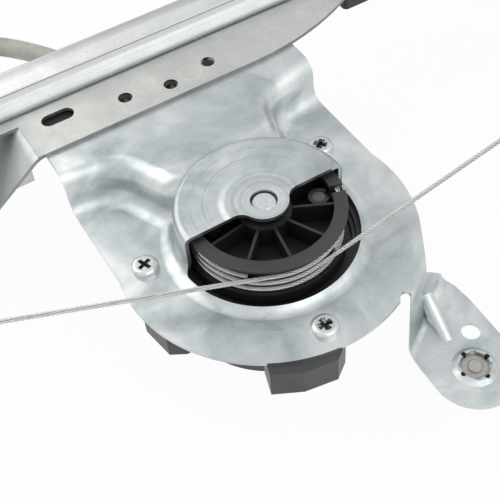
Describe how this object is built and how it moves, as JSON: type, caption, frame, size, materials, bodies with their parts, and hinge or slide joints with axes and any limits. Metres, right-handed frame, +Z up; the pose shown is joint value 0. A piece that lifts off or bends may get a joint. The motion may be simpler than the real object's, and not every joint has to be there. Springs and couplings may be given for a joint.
{
  "type": "window regulator",
  "caption": "Single-rail cable window regulator: a geared motor winds a cable that slides a glass carrier along a pressed steel guide rail.",
  "frame": {"origin": "centre of the drum plate's stud where its foot seats on the door panel", "axes": "+Z up along the guide rail, +Y from the glass towards the door's panel along the stud, +X from the rail towards the drum"},
  "size_m": [0.3166, 0.085, 0.472],
  "materials": {
    "zinc_sheet": "zinc plated, soft mottled reflections",
    "screw_steel": "zinc plated",
    "pin_steel": "turned, bright",
    "cable_steel": "twisted strands, lightly greased",
    "nipple_zinc": "cast zinc",
    "drum_plastic": "moulded, matte black",
    "housing_plastic": "moulded, fine texture",
    "motor_steel": "dark coated drawn steel",
    "magnet_ferrite": "sintered ferrite",
    "lamination_steel": "stamped laminations",
    "winding_copper": "enamelled wire",
    "commutator_copper": "turned",
    "brush_carbon": "pressed carbon",
    "bearing_bronze": "sintered bronze",
    "gear_plastic": "natural acetal",
    "pulley_plastic": "natural acetal",
    "slider_plastic": "low friction nylon",
    "black_rubber": "moulded rubber",
    "lead_sleeve": "smooth grey beige sleeve",
    "connector_plastic": "moulded"
  },
  "bodies": {
    "frame": {"guide_rail": "zinc_sheet", "drum_plate": "zinc_sheet", "upper_bracket": "zinc_sheet", "bracket_rivets": "pin_steel", "plate_stud": "screw_steel", "rail_bumpers": "black_rubber", "dome_bush": "bearing_bronze", "gear_housing": "housing_plastic", "gear_cover": "housing_plastic", "housing_screws": "screw_steel", "cover_screws": "screw_steel", "motor_can": "motor_steel", "motor_magnets": "magnet_ferrite", "brush_holder": "housing_plastic", "motor_brushes": "brush_carbon", "motor_screws": "screw_steel", "rear_bearing": "bearing_bronze", "front_bearing": "bearing_bronze", "end_bearing": "bearing_bronze", "lead_grommet": "black_rubber", "motor_lead": "lead_sleeve", "lead_connector": "connector_plastic", "lift_cable": "cable_steel", "lower_pulley_pin": "pin_steel", "upper_pulley_pin": "pin_steel", "deflector_pin": "pin_steel"},
    "drum": {"cable_drum": "drum_plastic", "drum_cable": "cable_steel", "drum_nipples": "nipple_zinc", "drum_shaft": "pin_steel", "shaft_clip": "pin_steel", "worm_wheel": "gear_plastic", "wheel_damper": "black_rubber", "drive_plate": "pin_steel"},
    "armature": {"worm": "pin_steel", "armature_shaft": "pin_steel", "armature_core": "lamination_steel", "armature_windings": "winding_copper", "commutator": "commutator_copper"},
    "lower_pulley_wheel": {"lower_pulley": "pulley_plastic"},
    "upper_pulley_wheel": {"upper_pulley": "pulley_plastic"},
    "deflector_wheel": {"deflector_pulley": "pulley_plastic"},
    "carriage": {"slider": "slider_plastic", "cable_ferrule": "nipple_zinc", "carrier_plate": "zinc_sheet", "carrier_screws": "screw_steel", "glass_pad": "black_rubber", "clamp_plate": "zinc_sheet", "clamp_bolt": "screw_steel", "clamp_nut": "screw_steel"}
  },
  "joints": [
    {"name": "armature_spin", "type": "hinge", "parent": "frame", "child": "armature", "pos_m": [-0.05, 0.0086, 0.0017], "axis": [1, 0, 0], "range_deg": [-2700, 48000]},
    {"name": "drum_spin", "type": "hinge", "parent": "frame", "child": "drum", "pos_m": [-0.0753, -0.0154, -0.0315], "axis": [0, 1, 0], "range_deg": [-658, 37.5]},
    {"name": "lower_pulley_spin", "type": "hinge", "parent": "frame", "child": "lower_pulley_wheel", "pos_m": [-0.1558, -0.0241, -0.2592], "axis": [0, 1, 0], "range_deg": [-1179.5, 66.8]},
    {"name": "upper_pulley_spin", "type": "hinge", "parent": "frame", "child": "upper_pulley_wheel", "pos_m": [-0.1558, -0.0241, 0.1635], "axis": [0, 1, 0], "range_deg": [-1179.5, 66.8]},
    {"name": "deflector_spin", "type": "hinge", "parent": "frame", "child": "deflector_wheel", "pos_m": [-0.08663, -0.0241, 0.1635], "axis": [0, 1, 0], "range_deg": [-1179.5, 66.8]},
    {"name": "carriage_slide", "type": "slide", "parent": "frame", "child": "carriage", "axis": [0, 0, 1], "range_m": [-0.2985, 0.0168]}
  ],
  "couplings": [
    {"joint": "drum_spin", "follows": "armature_spin", "ratio": -0.013699},
    {"joint": "lower_pulley_spin", "follows": "armature_spin", "ratio": -0.024563},
    {"joint": "upper_pulley_spin", "follows": "armature_spin", "ratio": -0.024563},
    {"joint": "deflector_spin", "follows": "armature_spin", "ratio": -0.024563},
    {"joint": "carriage_slide", "follows": "armature_spin", "m_per_rad": -0.00035616}
  ]
}
